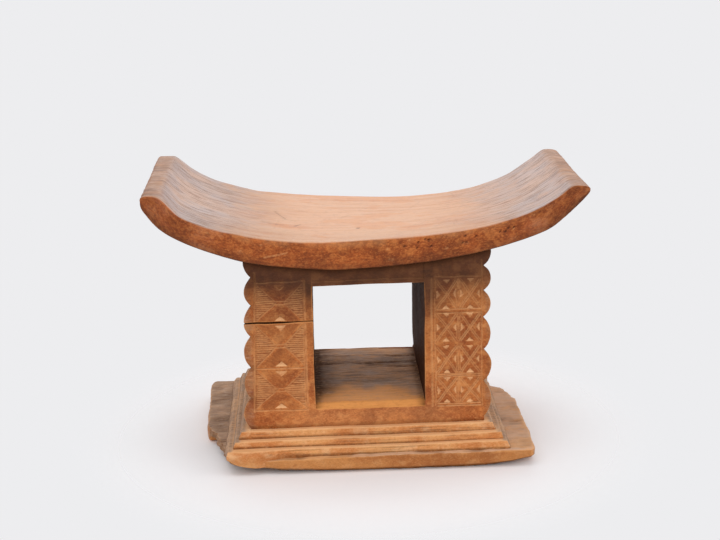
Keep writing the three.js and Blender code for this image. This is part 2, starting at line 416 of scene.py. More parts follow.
def carve_left_panel(x, z, seed):
    """Three hourglass cells one over another in a border."""
    carving = Carving(x, z, seed)
    low, high = LEFT_PANEL_X
    for bottom, top, top_pale in zip(LEFT_ROWS, LEFT_ROWS[1:], (0.8, 1.0, 0.25)):
        carve_hourglass_cell(carving, low, high, bottom, top, top_pale)
    carving.line((low, PANEL_TOP), (high, PANEL_TOP + 0.4), 1.1, 0.5)
    carving.line((low - 0.3, PANEL_BOTTOM - 1), (low, PANEL_TOP + 8), 1.7, 0.8)
    carving.line((high, PANEL_BOTTOM - 1), (high, PANEL_TOP + 1), 1.7, 0.8)
    carving.line((high - 1.5, PANEL_BOTTOM), (high - 1.4, CRACK_Z - 2), 0.9, 0.45)
    return carving


def carve_crossed_cell(carving, left, right, bottom, top):
    """One cell: a cross of double lines with a chip in each of its four triangles."""
    middle, centre = (left + right) / 2, (bottom + top) / 2
    for shift in (-0.75, 0.75):
        carving.line((left + 0.7 + shift, bottom + 1.2), (right - 0.7 + shift, top - 1.2), 0.95, 0.5)
        carving.line((left + 0.7 - shift, top - 1.2), (right - 0.7 - shift, bottom + 1.2), 0.95, 0.5)
    # Painted shade over the cell, between its crosses.
    within = np.abs(carving.x - middle) < (right - left) / 2
    within &= np.abs(carving.z - centre) < (top - bottom) / 2
    carving.dim_area(within, 0.16)
    jitter = carving.random.uniform(-0.4, 0.4, 4)
    size = carving.random.uniform(0.85, 1.1, 4)
    carving.pit((middle + jitter[0], bottom + 1.4), (0, 1), 5.6 * size[0], 3.2 * size[0])
    carving.pit((middle + jitter[1], top - 1.6), (0, -1), 5.2 * size[1], 3.0 * size[1])
    carving.pit((left + 1.5, centre + jitter[2]), (1, 0), 6.4 * size[2], 2.6, 1.1, 0.85)
    carving.pit((right - 1.5, centre + jitter[3]), (-1, 0), 6.4 * size[3], 2.6, 1.1, 0.85)


def carve_right_panel(x, z, seed):
    """Four rows of two crossed cells, parted by double lines, in a border."""
    carving = Carving(x, z, seed)
    low, high = RIGHT_PANEL_X
    middle = (low + high) / 2
    for bottom, top, spread in zip(RIGHT_ROWS, RIGHT_ROWS[1:], RIGHT_ROW_LINES):
        for left, right in ((low, middle), (middle, high)):
            carve_crossed_cell(carving, left, right, bottom, top)
        if spread:
            for rise in (-spread, spread):
                carving.line((low + 0.5, bottom + rise), (high, bottom + rise), 0.95, 0.6)
    for shift in (-1.3, 0, 1.3):
        for start, end in ((111, 131), (87, 105), (64, 83), (42, 60)):
            carving.line((middle + shift, start), (middle + shift * 0.5, end), 0.9, 0.45)
    carving.line((low - 0.6, PANEL_TOP + 0.4), (high, PANEL_TOP), 1.0, 0.5)
    carving.line((low, PANEL_BOTTOM - 1), (low + 0.5, PANEL_TOP), 1.3, 0.7)
    carving.line((low - 2.1, PANEL_BOTTOM - 2), (low - 1.9, PANEL_TOP), 1.8, 0.7)
    carving.line((high, PANEL_BOTTOM - 2), (high, PANEL_TOP + 12), 1.3, 0.7)
    return carving


def carve_border(x, z, seed):
    """The single line along the lintel."""
    carving = Carving(x, z, seed)
    carving.line((-60, 132.3), (60, 132.6), 1.1, 0.55)
    return carving


def carve(panel, points, x, on_face, seed):
    """Depth of a panel's cuts, with painted shade and painted highlight as if lit from the upper left, and
    paler wood along cut lines and on fresh chip floors.
    """
    step = 0.3
    back_seed = seed + 50
    front = points[:, 1] < 0
    z = points[:, 2]
    depth, shade, lit = (np.zeros(len(x)) for _ in range(3))
    for chosen, side_seed in ((front, seed), (~front, back_seed)):
        here = panel(x[chosen], z[chosen], side_seed)
        towards_light = panel(x[chosen] - 0.4 * step, z[chosen] + 0.92 * step, side_seed)
        slope = (towards_light.depth - here.depth) / step
        depth[chosen] = here.depth
        in_line = np.clip(here.depth / 0.35, 0, 1) * (here.fresh == 0)
        shade[chosen] = np.maximum(np.clip(-slope - 0.1, 0, 1), here.dim * (1 - in_line)) * (1 - here.fresh)
        lit[chosen] = np.maximum(np.clip(slope * 0.55, 0.6 * in_line, 0.72), here.fresh)
    return depth * on_face, shade * on_face, lit * on_face


# ---------------------------------------------------------------- members

def scallop(z, notches, reach):
    """How far a scalloped side stands out past its notches at heights z."""
    notches = np.array(notches)
    span = np.clip(np.searchsorted(notches, z, side="right") - 1, 0, len(notches) - 2)
    half = (notches[span + 1] - notches[span]) / 2
    from_middle = np.clip(z - (notches[span] + half), -half, half)
    radius = (half ** 2 + reach ** 2) / (2 * reach)
    out = reach - radius + np.sqrt(np.maximum(radius ** 2 - from_middle ** 2, 0))
    return np.where(z < notches[0], 0.3, out)


def hand_cut(points, normals, amount=1.0):
    """Unevenness left by the adze and knife, then by handling. It runs on from one member to the next."""
    broad = 0.45 * noise(points, 34, 11, 2)
    facets = 0.16 * noise(points, 9, 31, 2, (2.2, 1, 1))
    grain = 0.05 * noise(points, 1.6, 51, 2, (9, 1, 1))
    return points + normals * ((broad + facets + grain) * amount)[:, None]


def dark_patina_and_shade(points):
    """Dark, handled wood under the seat, fading down the walls: patina together with painted shade under the
    seat.
    """
    lower = 11 * smooth(66, 38, np.abs(points[:, 0]))
    z = points[:, 2] + 5 * noise(points, 22, 71, 2)
    lighter = 0.1 * smooth(50, 60, points[:, 0]) * smooth(62, 80, z) * smooth(118, 100, z)
    return 0.22 * smooth(60, 110, z) + 0.75 * smooth(109, 140, z + lower) - lighter


def slab_curl(x):
    """Height of the slab's underside at its front edge."""
    return CURL_AMOUNT * np.interp(x, *np.array(SLAB_CURL).T)


def foot_painted_light(points):
    """Painted light: the block's plain foot is a little lighter, most of all under the window."""
    return 0.24 * smooth(44, 36, points[:, 2]) * smooth(72, 40, np.abs(points[:, 0]))


class WallPlan:
    """Where a wall's faces, panel and scallops are, outwards from the middle. side is -1 (left) or 1."""

    def __init__(self, side):
        right = side > 0
        self.side = side
        self.inner, self.outer = (RIGHT_LOW[0], RIGHT_HIGH[0]) if right else (-LEFT_HIGH[0], -LEFT_LOW[0])
        self.panel_start, self.panel_end = RIGHT_PANEL_X if right else (-LEFT_PANEL_X[1], -LEFT_PANEL_X[0])
        self.lobes_start = self.panel_end + 0.7
        self.notches = RIGHT_NOTCHES if right else LEFT_NOTCHES
        self.notch_x, self.reach = (78.4, 5.3) if right else (79.2, 4.9)
        self.carve_panel, self.seed = (carve_right_panel, 22) if right else (carve_left_panel, 21)

    def lattice(self, bottom, top, fine_z):
        outwards = spaced((self.inner, 0.35), (self.inner + 1.4, 0.8), (self.panel_start - 1, 0.4),
                          (self.lobes_start, 0.5), (self.outer, 0))
        xs = outwards if self.side > 0 else -outwards[::-1]
        ys = spaced((-BLOCK_Y, 0.4), (-BLOCK_Y + 1.6, 4.2), (BLOCK_Y - 1.6, 0.4), (BLOCK_Y, 0))
        return box_lattice(xs, ys, spaced((bottom, fine_z), (top, 0)))

    def scalloped(self, points):
        """Outward distance of each point once the side is scalloped, and how far that side stands out."""
        x_out, z = np.abs(points[:, 0]), points[:, 2]
        stand_out = self.notch_x + scallop(z, self.notches, self.reach)
        hollow = smooth(0.5, 17, BLOCK_Y - np.abs(points[:, 1]))
        stand_out = stand_out - hollow * (1.6 + 0.55 * (stand_out - self.notch_x))
        share = np.clip((x_out - self.lobes_start) / (self.outer - self.lobes_start), 0, 1)
        in_lobes = x_out > self.lobes_start
        x_out = np.where(in_lobes, self.lobes_start + share * (stand_out - self.lobes_start), x_out)
        if self.side < 0:
            lean = LEFT_LEAN * np.clip((PANEL_TOP - z) / (PANEL_TOP - PANEL_BOTTOM), 0, 1.2)
            x_out = x_out + lean * smooth(self.inner, self.notch_x, x_out)
        return x_out, stand_out


def open_crack(points, upper, end_z):
    """Moves the end of one part of the left wall to the crack, and returns the crack's height."""
    crack = CRACK_Z + 0.45 * noise(points * [1, 0.4, 0], 16, 90, 2) + 0.006 * (points[:, 0] + 60)
    gap = 0.07 + 0.4 * smooth(BLOCK_Y - 4, BLOCK_Y - 0.8, np.abs(points[:, 1]))
    near = 1 - np.clip(np.abs(points[:, 2] - end_z) / 6, 0, 1)
    points[:, 2] += near * (crack + (gap if upper else -gap) - end_z)
    return crack


def make_wall(node, side, bottom, top, flat_ends, fine_z):
    """One wall, or one part of it: side is -1 for the left wall and 1 for the right."""
    plan = WallPlan(side)
    points, sides = plan.lattice(bottom, top, fine_z)

    beside_window = smooth(WINDOW_FLOOR - 0.5, WINDOW_FLOOR + 1.5, points[:, 2])
    beside_window *= 1 - smooth(WINDOW_TOP - 1.5, WINDOW_TOP + 0.5, points[:, 2])
    near_window = np.abs(points[:, 0]) < plan.inner + 2
    radius = 0.75 + 0.3 * noise(points, 7, plan.seed, 2)
    radius = np.where(near_window, radius * beside_window, radius)
    points, edge = round_edges(points, np.maximum(radius, 1e-4), flat_ends)

    upright_x = points[:, 0].copy()
    x_out, stand_out = plan.scalloped(points)
    points[:, 0] = side * x_out
    if side < 0:
        upper = node.endswith("upper")
        crack = open_crack(points, upper, bottom if upper else top)

    def buried(centre):
        inner = np.abs(centre[:, 0]) < plan.inner + 0.02
        return inner & ((centre[:, 2] > WINDOW_TOP) | (centre[:, 2] < WINDOW_FLOOR))

    skip = [end for end in ("-z", "+z") if end in flat_ends]
    normals = surface_normals(points, shown_quads(points, sides, buried, skip))
    points = hand_cut(points, normals)
    on_face = smooth(0.75, 0.97, np.abs(normals[:, 1]))
    depth, shade, lit = carve(plan.carve_panel, points, upright_x, on_face, plan.seed)
    points = points - normals * depth[:, None]

    # Painted shade inside the crack.
    in_crack = np.zeros(len(points))
    if side < 0:
        in_crack = smooth(0.9, 0.5, np.abs(points[:, 2] - crack)) * smooth(0.8, 0.3, np.abs(normals[:, 1]))
    # The jambs inside the window are painted dark at full patina and dirt: painted shade.
    jamb = (np.abs(normals[:, 0]) > 0.7) & (np.abs(points[:, 0]) < plan.inner + 3)
    patina_and_shade, grey, dirt_and_shade = wall_tones(plan, points, normals, on_face, jamb)
    dirt_and_shade = np.maximum(np.maximum(dirt_and_shade, in_crack), lobe_notch_shade(plan, points, stand_out))
    worn = edge * smooth(140, 120, points[:, 2]) * (1 - in_crack)
    # Painted light on the block's foot.
    lit = np.maximum(lit, foot_painted_light(points) * on_face)
    lit = np.maximum(lit, 0.6 * edge * near_window * beside_window * (1 - patina_and_shade))
    tones = {"wear_shade_and_light": (worn, np.maximum(shade, in_crack), lit),
             "tone": (np.maximum(patina_and_shade, jamb), grey, np.clip(np.maximum(dirt_and_shade, jamb), 0, 1))}
    add_piece(node, points, sides, tones, materials["carved"])


def wall_lobes(plan, points):
    """How far each point is in the scalloped side, past the panel."""
    outwards = np.abs(points[:, 0]) + 1.5 * noise(points, 8, 14, 2)
    return smooth(plan.lobes_start - 2, plan.lobes_start + 5, outwards)


# Painted shade in the notches between the scallops.
def lobe_notch_shade(plan, points, stand_out):
    return 0.5 * wall_lobes(plan, points) * smooth(3.4, 0.4, stand_out - plan.notch_x)


def wall_tones(plan, points, normals, on_face, jamb):
    """Patina with painted shade, grey, and the dirt tone of a wall: greyer on its scalloped side, and browner
    beside the window. The dirt tone here is painted shade under the seat and along the block's foot.
    """
    lobe_grey, lobe_patina = (0.62, 0.15) if plan.side < 0 else (0.5, 0.26)
    lobes = wall_lobes(plan, points)
    facing_out = smooth(0.5, 0.9, plan.side * normals[:, 0]) * (1 - jamb)
    grey = lobe_grey * lobes * (1 - facing_out) + 0.8 * facing_out
    strip = smooth(plan.panel_start - 0.5, plan.panel_start - 2, np.abs(points[:, 0]))
    patina_and_shade = np.maximum(dark_patina_and_shade(points) + 0.1 * strip * on_face, lobe_patina * lobes)
    # Painted shade under the seat and where the wall meets the step.
    dirt_and_shade = smooth(7, 0, seat_under(points[:, 0]) - points[:, 2])
    dirt_and_shade = dirt_and_shade + 0.7 * smooth(3, 0, points[:, 2] - BLOCK_BOTTOM)
    return patina_and_shade, grey, dirt_and_shade


def make_lintel():
    """Band between the walls, with the border line of the window along it."""
    top = seat_under(0) + 8
    xs = spaced((-WINDOW_X, 0.9), (WINDOW_X, 0))
    ys = spaced((-BLOCK_Y, 0.4), (-BLOCK_Y + 1.6, 3.5), (BLOCK_Y - 1.6, 0.4), (BLOCK_Y, 0))
    zs = spaced((WINDOW_TOP, 0.35), (WINDOW_TOP + 6, 0.8), (top, 0))
    points, sides = box_lattice(xs, ys, zs)
    radius = 0.75 + 0.3 * noise(points, 7, 3, 2)
    points, edge = round_edges(points, radius, ("-x", "+x", "+z"))
    under = seat_under(points[:, 0]) + 2 * BURY
    share = (points[:, 2] - WINDOW_TOP) / (top - WINDOW_TOP)
    points[:, 2] = WINDOW_TOP + share * (under - WINDOW_TOP)
    points[:, 2] -= 0.9 * (1 - share) ** 2
    normals = surface_normals(points, shown_quads(points, sides, None, ("-x", "+x", "+z")))
    points = hand_cut(points, normals)
    on_face = smooth(0.75, 0.97, np.abs(normals[:, 1]))
    x = points[:, 0]
    depth, shade, lit = carve(carve_border, points, x, on_face, 44)
    points = points - normals * depth[:, None]
    # Painted shade under the seat.
    dirt_and_shade = smooth(7, 0, seat_under(x) - points[:, 2])
    tones = {"wear_shade_and_light": (0.5 * edge, shade, 0.6 * lit), "tone": (dark_patina_and_shade(points), 0 * x, dirt_and_shade)}
    add_piece("lintel", points, sides, tones, materials["carved"])


def make_sill():
    """Window floor: worn smooth at the front, gouged and grey towards the back."""
    bottom = BLOCK_BOTTOM - BURY
    xs = spaced((-WINDOW_X, 0.8), (WINDOW_X, 0))
    ys = spaced((-BLOCK_Y, 0.4), (-BLOCK_Y + 8, 0.9), (BLOCK_Y - 8, 0.4), (BLOCK_Y, 0))
    zs = spaced((bottom, 1.2), (WINDOW_FLOOR - 5, 0.5), (WINDOW_FLOOR, 0))
    points, sides = box_lattice(xs, ys, zs)
    radius = 0.9 + 0.4 * noise(points, 9, 5, 2)
    points, edge = round_edges(points, radius, ("-x", "+x", "-z"))
    inward = BLOCK_Y - np.abs(points[:, 1])
    bevel = 3.0 * (1 - smooth(0, 6.5, inward + 0.7 * noise(points, 14, 6, 2)))
    bevel = np.where(points[:, 1] > 0, 0.25 * bevel, bevel)
    near_top = smooth(WINDOW_FLOOR - 5, WINDOW_FLOOR, points[:, 2])
    points[:, 2] -= bevel * near_top
    normals = surface_normals(points, shown_quads(points, sides, None, ("-x", "+x", "-z")))
    points = hand_cut(points, normals)
    up = smooth(0.6, 0.95, normals[:, 2])
    back = smooth(-18, 25, points[:, 1])
    gouges = np.clip(noise(points, 5, 8, 3, (7, 1, 1)) - 0.25, 0, 1)
    points[:, 2] -= up * (0.5 + 0.9 * back) * gouges + up * 0.35 * np.abs(noise(points, 18, 9, 2))
    step = 1.1 * smooth(BLOCK_Y - 7, BLOCK_Y - 5, points[:, 1]) * smooth(2, 5, points[:, 0] - 8)
    points[:, 2] -= up * step
    x = points[:, 0]
    arched = points[:, 1] - 15 * (1 - (x / WINDOW_X) ** 2) + 14 * noise(points, 16, 12, 3)
    grey = up * smooth(-62, -28, arched)
    smudges = np.clip(noise(points, 15, 15, 3, (1.8, 1, 1)) - 0.05, 0, 1) * smooth(-52, -25, points[:, 1])
    left_corner = 0.6 * smooth(20, 2, x + WINDOW_X) * smooth(-56, -38, points[:, 1])
    # Darker at the left back corner and in the gouges, with dirt smudges, and painted shade beside the jambs.
    dirt_and_shade = up * (left_corner + smooth(7, 0, WINDOW_X - np.abs(x)) * 0.8 + gouges * back + 0.45 * smudges)
    # Painted shade where the sill meets the step.
    dirt_and_shade = dirt_and_shade + 0.7 * smooth(3, 0, points[:, 2] - BLOCK_BOTTOM)
    # Painted light on the sill's front, as on the block's foot.
    lit = foot_painted_light(points) * smooth(0.6, 0.9, np.abs(normals[:, 1]))
    tones = {"wear_shade_and_light": (edge, 0 * x, lit), "tone": (0.06 * up, grey, np.clip(dirt_and_shade, 0, 1))}
    add_piece("window_sill", points, sides, tones, materials["sill"])


def bend_seat(points, length, depth, thick):
    """Bends a plank into the saddle. Returns its points, and each one's rise, from 0 below to 1 on top."""
    share = points[:, 0] / length
    top = along(SEAT_TOP_CURVE, share)
    under = along(SEAT_UNDER_CURVE, share)
    rise = points[:, 2] / thick
    x = under[:, 0] + rise * (top[:, 0] - under[:, 0])
    z = under[:, 1] + rise * (top[:, 1] - under[:, 1])
    across = (points[:, 1] + depth) / (2 * depth)
    z = z + np.interp(x, *SEAT_TWIST_CURVE.T) * across
    hollow_end = smooth(130, 146, np.abs(x)) * np.sin(across * math.pi) ** 2
    x = x * (1 - np.where(x > 0, RIGHT_END_HOLLOW, LEFT_END_HOLLOW) * hollow_end)
    return np.stack([x, points[:, 1], z], 1), rise


def seat_scratches(points, random):
    """Depth of the scratches on the seat's top: many faint ones, the plain ones, and a dark spot."""
    x, y = points[:, 0], points[:, 1]
    scratch = np.zeros(len(x))
    for _ in range(30):
        place = random.uniform((-95, -60), (110, 60))
        turn = random.uniform(-0.5, 0.5) + (math.pi / 2 if random.random() < 0.3 else 0)
        reach = random.uniform(8, 34)
        end = place + reach * np.array([math.cos(turn), math.sin(turn)])
        bend = 3 * np.sin((x + place[1]) / 30)
        scratch = np.maximum(scratch, stroke(x, y + bend, place, end, 1.3, 0.09, 5))
    for start, end, width, cut in SEAT_SCRATCHES:
        scratch = np.maximum(scratch, stroke(x, y, start, end, width, cut, 3))
    spot = np.hypot(x - SEAT_SPOT[0], y - SEAT_SPOT[1])
    return np.maximum(scratch, 0.4 * smooth(2.0, 0.8, spot))


def seat_ticks(x, height, random):
    """Depth of the short upright knife ticks on the seat's front and back."""
    ticks = np.zeros(len(x))
    for place in random.uniform(-130, 130, 22):
        low = random.uniform(2, 10)
        lean = random.uniform(-5, 5)
        ticks = np.maximum(ticks, stroke(x, height, (place, low), (place + lean, low + 6), 0.9, 0.25))
    return ticks


def seat_nicks(x, height, random):
    """Small pale nicks in the seat's front and back."""
    nicks = np.zeros(len(x))
    for place, level in zip(random.uniform(-138, 130, 12), random.uniform(3, 16.5, 12)):
        reach = random.uniform(0.6, 1.1)
        nicks = np.maximum(nicks, smooth(reach, 0.4 * reach, np.hypot((x - place) / 1.5, height - level)))
    return nicks


def seat_holes(x, height, at_front):
    """Insect holes in the seat's front: how deep each point is in a hole."""
    random = np.random.default_rng(91)
    deep = np.zeros(len(x))
    for _ in range(16):
        middle = (random.uniform(18, 98), random.uniform(7.5, 15.5))
        nearest = np.argmin(np.where(at_front, np.hypot(x - middle[0], height - middle[1]), 1e9))
        away = np.hypot(x - x[nearest], height - height[nearest])
        size = random.uniform(0.6, 0.95)
        deep = np.maximum(deep, at_front * 1.6 * np.clip(1 - away / size, 0, 1))
    return deep


def seat_patina_and_shade(points, outer, upper, front, underside, rise):
    """Browner under the front's lower edge, towards the ends and in a few places of the top, with painted
    shade on the underside.
    """
    x, y = points[:, 0], points[:, 1]
    patina_and_shade = front * (0.42 * smooth(0.5, 0.0, rise) + 0.3 * smooth(80, 140, np.abs(x))) + 0.75 * underside
    patina_and_shade = patina_and_shade - 0.06 * front * smooth(40, 0, np.abs(x)) * smooth(0.5, 1, rise)
    patina_and_shade = patina_and_shade + upper * (0.05 * smooth(-20, -80, x) + 0.1 * smooth(-25, -62, y))
    patina_and_shade = patina_and_shade + 0.07 * upper * smooth(-10, 50, y) * smooth(-50, -110, x)
    return patina_and_shade + upper * np.where(x < 0, 0.1, 0.05) * smooth(38, 80, outer) * smooth(128, 100, outer)


def seat_grey(points, outer, upper, front, end_grain):
    """Grey where the top rises to its ends, less on the level facets and along the worn front."""
    x, y = points[:, 0], points[:, 1]
    tip = smooth(30, 118, outer)
    near_front = smooth(-40, -62, y) * smooth(110, 60, np.abs(x))
    facet = smooth(134, 141, np.abs(x))
    grey = upper * (0.12 + 0.88 * tip) * (1 - 0.6 * near_front) * (1 - 0.35 * facet) + 0.25 * front * tip
    return grey + 0.6 * end_grain * (1 - upper)


def make_seat():
    """The curved seat: a plank bent into a saddle, its ends cut to narrow level facets."""
    length, depth, thick = 2 * SEAT_HIGH[0], SEAT_HIGH[1], 18.0
    xs = spaced((0, 0.5), (22, 1.1), (length - 22, 0.5), (length, 0))
    ys = spaced((-depth, 0.45), (-depth + 3, 1.27), (depth - 3, 0.45), (depth, 0))
    zs = spaced((0, 0.5), (3, 0.95), (thick - 3, 0.5), (thick, 0))
    plank, sides = box_lattice(xs, ys, zs)
    plank, edge = round_edges(plank, 1.5 + 0.5 * noise(plank, 12, 31, 2))
    height = plank[:, 2]
    points, rise = bend_seat(plank, length, depth, thick)
    x = points[:, 0].copy()
    normals = surface_normals(points, np.vstack(list(sides.values())))
    points = hand_cut(points, normals, 0.8)

    front = smooth(0.7, 0.95, np.abs(normals[:, 1]))
    upper = smooth(0.3, 0.7, normals[:, 2]) * (height > thick / 2)
    underside = smooth(-0.2, -0.7, normals[:, 2])
    end_grain = smooth(132, 141, np.abs(x)) * (1 - front)
    random = np.random.default_rng(77)
    scratch = seat_scratches(points, random) * upper
    ticks = seat_ticks(x, height, random) * front
    nicks = seat_nicks(x, height, random) * front
    holes = seat_holes(x, height, points[:, 1] < 0) * front
    end_cuts = np.abs(noise(plank, 2.3, 55, 2, (14, 1, 14))) * end_grain
    points = points - normals * (scratch + ticks + 0.55 * end_cuts + holes)[:, None]

    where = np.stack([x, points[:, 1], points[:, 2]], 1)
    outer = np.abs(x) + 9 * noise(points, 26, 33, 2)
    patina_and_shade = seat_patina_and_shade(where, outer, upper, front, underside, rise)
    grey = seat_grey(where, outer, upper, front, end_grain)
    # Darker in scratches, ticks and end-grain cuts; the insect holes are painted dark as painted shade.
    line = np.clip(scratch * 2.6 + ticks * 1.3, 0, 0.85)
    line = np.maximum(line, np.clip(holes, 0, 1))
    line = np.maximum(line, 0.55 * np.clip(end_cuts * 4 - 1, 0, 1))
    near_top = smooth(6, 1, thick - height) * front
    lit = 0.32 * near_top * np.clip(noise(points, 9, 35, 3) + 0.6, 0, 1) * smooth(115, 80, np.abs(x))
    cut = stroke(x, height, *FRONT_CUT, 1.3, 1.0) * front * (points[:, 1] < 0)
    lit = np.maximum(lit, np.maximum(0.75 * cut, 0.55 * nicks))
    tones = {"wear_shade_and_light": (0.4 * edge * (1 - underside), line, lit), "tone": (patina_and_shade, grey, 0.4 * end_grain)}
    add_piece("seat", points, sides, tones, materials["seat"], plank)


def taper_step(points, low, high, top, flare):
    """Narrows a plate upwards, more at its ends than at its front and back."""
    middle = (low + high) / 2
    half = (high - low) / 2
    narrow = flare * np.clip((points[:, 2] - low[2]) / (top - low[2]), 0, 1)
    for axis, share in ((0, 1.0), (1, 0.45)):
        offset = points[:, axis] - middle[axis]
        points[:, axis] = middle[axis] + offset * (1 - share * narrow / half[axis])


def run_out(points, raised, bottom):
    """Lets the bottom step run out over the slab's curl at the front left, as one rounded mass."""
    merge = smooth(-44, -84, points[:, 0] + 14 * (1 - raised)) * smooth(-40, -75, points[:, 1])
    corner = smooth(-86, -98.5, points[:, 0]) * smooth(-62, -77, points[:, 1])
    curled = slab_curl(points[:, 0]) + 0.8
    points[:, 1] += corner * 1.8 - merge * (5.2 - 2.4 * raised)
    points[:, 0] += corner * (1 - raised) * 1.6
    lower = (curled - bottom) * smooth(-58, -80, points[:, 0]) * smooth(-66, -76, points[:, 1])
    points[:, 2] += (1 - raised) * np.minimum(lower, 4)


def step_cuts(points, low, high, random):
    """Long shallow knife cuts along a step's risers."""
    cuts = np.zeros(len(points))
    for _ in range(9):
        start = random.uniform(low[0], high[0] - 30)
        run = random.uniform(15, 70)
        level = low[2] + random.uniform(0.6, 4.2)
        tilt = random.uniform(-0.8, 0.8)
        end = (start + run, level + tilt)
        cuts = np.maximum(cuts, stroke(points[:, 0], points[:, 2], (start, level), end, 0.75, 0.25, 6))
    return cuts


def make_step(node, flare, seed):
    """One step of the plinth: a low plate with sloping risers, cut by eye."""
    low, high = node_box(node)
    bottom, top = low[2] - BURY, high[2]
    xs = spaced((low[0], 0.5), (low[0] + 10, 0.95), (high[0] - 10, 0.5), (high[0], 0))
    ys = spaced((low[1], 0.5), (low[1] + 9, 2.2), (high[1] - 9, 0.5), (high[1], 0))
    points, sides = box_lattice(xs, ys, spaced((bottom, 0.6), (top, 0)))
    radius = 0.9 + 0.45 * noise(points, 11, seed, 2)
    points, edge = round_edges(points, np.maximum(radius, 0.3), ("-z",))
    taper_step(points, low, high, top, flare)
    normals = surface_normals(points, shown_quads(points, sides, None, ("-z",)))
    raised = smooth(low[2], top, points[:, 2])
    wander = 0.5 * noise(points * [1, 1, 0.2], 45, seed + 3, 2) - 0.9 * smooth(-20, -100, points[:, 0])
    points[:, 2] += wander * raised
    if node == "plinth_step_bottom":
        run_out(points, raised, bottom)
    points = hand_cut(points, normals, 0.8)

    riser = smooth(0.6, 0.9, np.abs(normals[:, 1]))
    height = (points[:, 2] - low[2]) / (top - low[2])
    cuts = step_cuts(points, low, high, np.random.default_rng(seed)) * riser
    points = points - normals * cuts[:, None]
    up = smooth(0.5, 0.9, normals[:, 2])
    ends = smooth(0.5, 0.9, np.abs(normals[:, 0]))
    outside = np.abs(points[:, 0] - (low[0] + high[0]) / 2) / ((high[0] - low[0]) / 2)
    grey = np.clip(up * smooth(0.9, 0.97, outside) + ends, 0, 1)
    # Painted shade at the foot of each riser, where it meets the step or slab below.
    foot = smooth(0.3, 0.0, height) * (1 - up)
    if node == "plinth_step_bottom":
        foot = foot * (1 - 0.75 * smooth(-50, -70, points[:, 0]) * smooth(-60, -76, points[:, 1]))
    edge = edge * (1 - 0.8 * smooth(0.86, 0.94, outside))
    tones = {"wear_shade_and_light": (edge, np.clip(cuts / 0.35, 0, 1), 0.3 * edge), "tone": (0.12 * foot, grey, 0.75 * foot)}
    add_piece(node, points, sides, tones, materials["plinth"])


def slab_outline(points, share):
    """X of the slab's points between its ends, and how far each is in the broken front left corner."""
    left = np.interp(points[:, 1], *np.array(SLAB_LEFT_END).T)
    right = np.interp(points[:, 1], *np.array(SLAB_RIGHT_END).T)
    ragged = noise(points * [0, 1, 0.6], 5, 63, 3)
    broken = smooth(-13, -21, points[:, 1]) * smooth(0.5, 0, share)
    missing = smooth(14, 26, points[:, 1]) * smooth(0.5, 1, share)
    left = left + 0.5 * ragged + 1.1 * broken * ragged
    right = right + 0.4 * ragged + 0.9 * missing * ragged
    return left + share * (right - left), broken


def shape_slab(points, share, thick):
    """Cuts the slab's ends, curls up its front corners and tucks it under the step at the front left."""
    x, broken = slab_outline(points, share)
    y, z = points[:, 1], points[:, 2]
    ragged_end = smooth(0.11, 0.0, share) * smooth(-76, -62, y)
    curl = slab_curl(x) * smooth(-62, -80.5, y)
    z = z + (curl + 6.0 * broken * ragged_end) * (1 - z / thick)
    z = z - (0.7 * smooth(15, -40, x) + 0.6 * broken) * smooth(-68, -80, y) * z / thick
    tucked = smooth(-56, -86, x) * smooth(-60, -80, y)
    z = z - 1.6 * tucked * z / thick
    return np.stack([x, y + 3.2 * tucked, z], 1), broken


def slab_splits(points):
    """Depth of the split at the slab's left end and of the one at its right end."""
    x, y = points[:, 0], points[:, 1]
    left = stroke(x, y + 0.6 * noise(points, 6, 67, 2), (-125, 38), (-97, 41), 1.5, 1.6, 3)
    right = stroke(x, y + noise(points, 7, 68, 2), (98, -26), (116, -24), 1.2, 0.8, 4)
    return np.maximum(left, right)


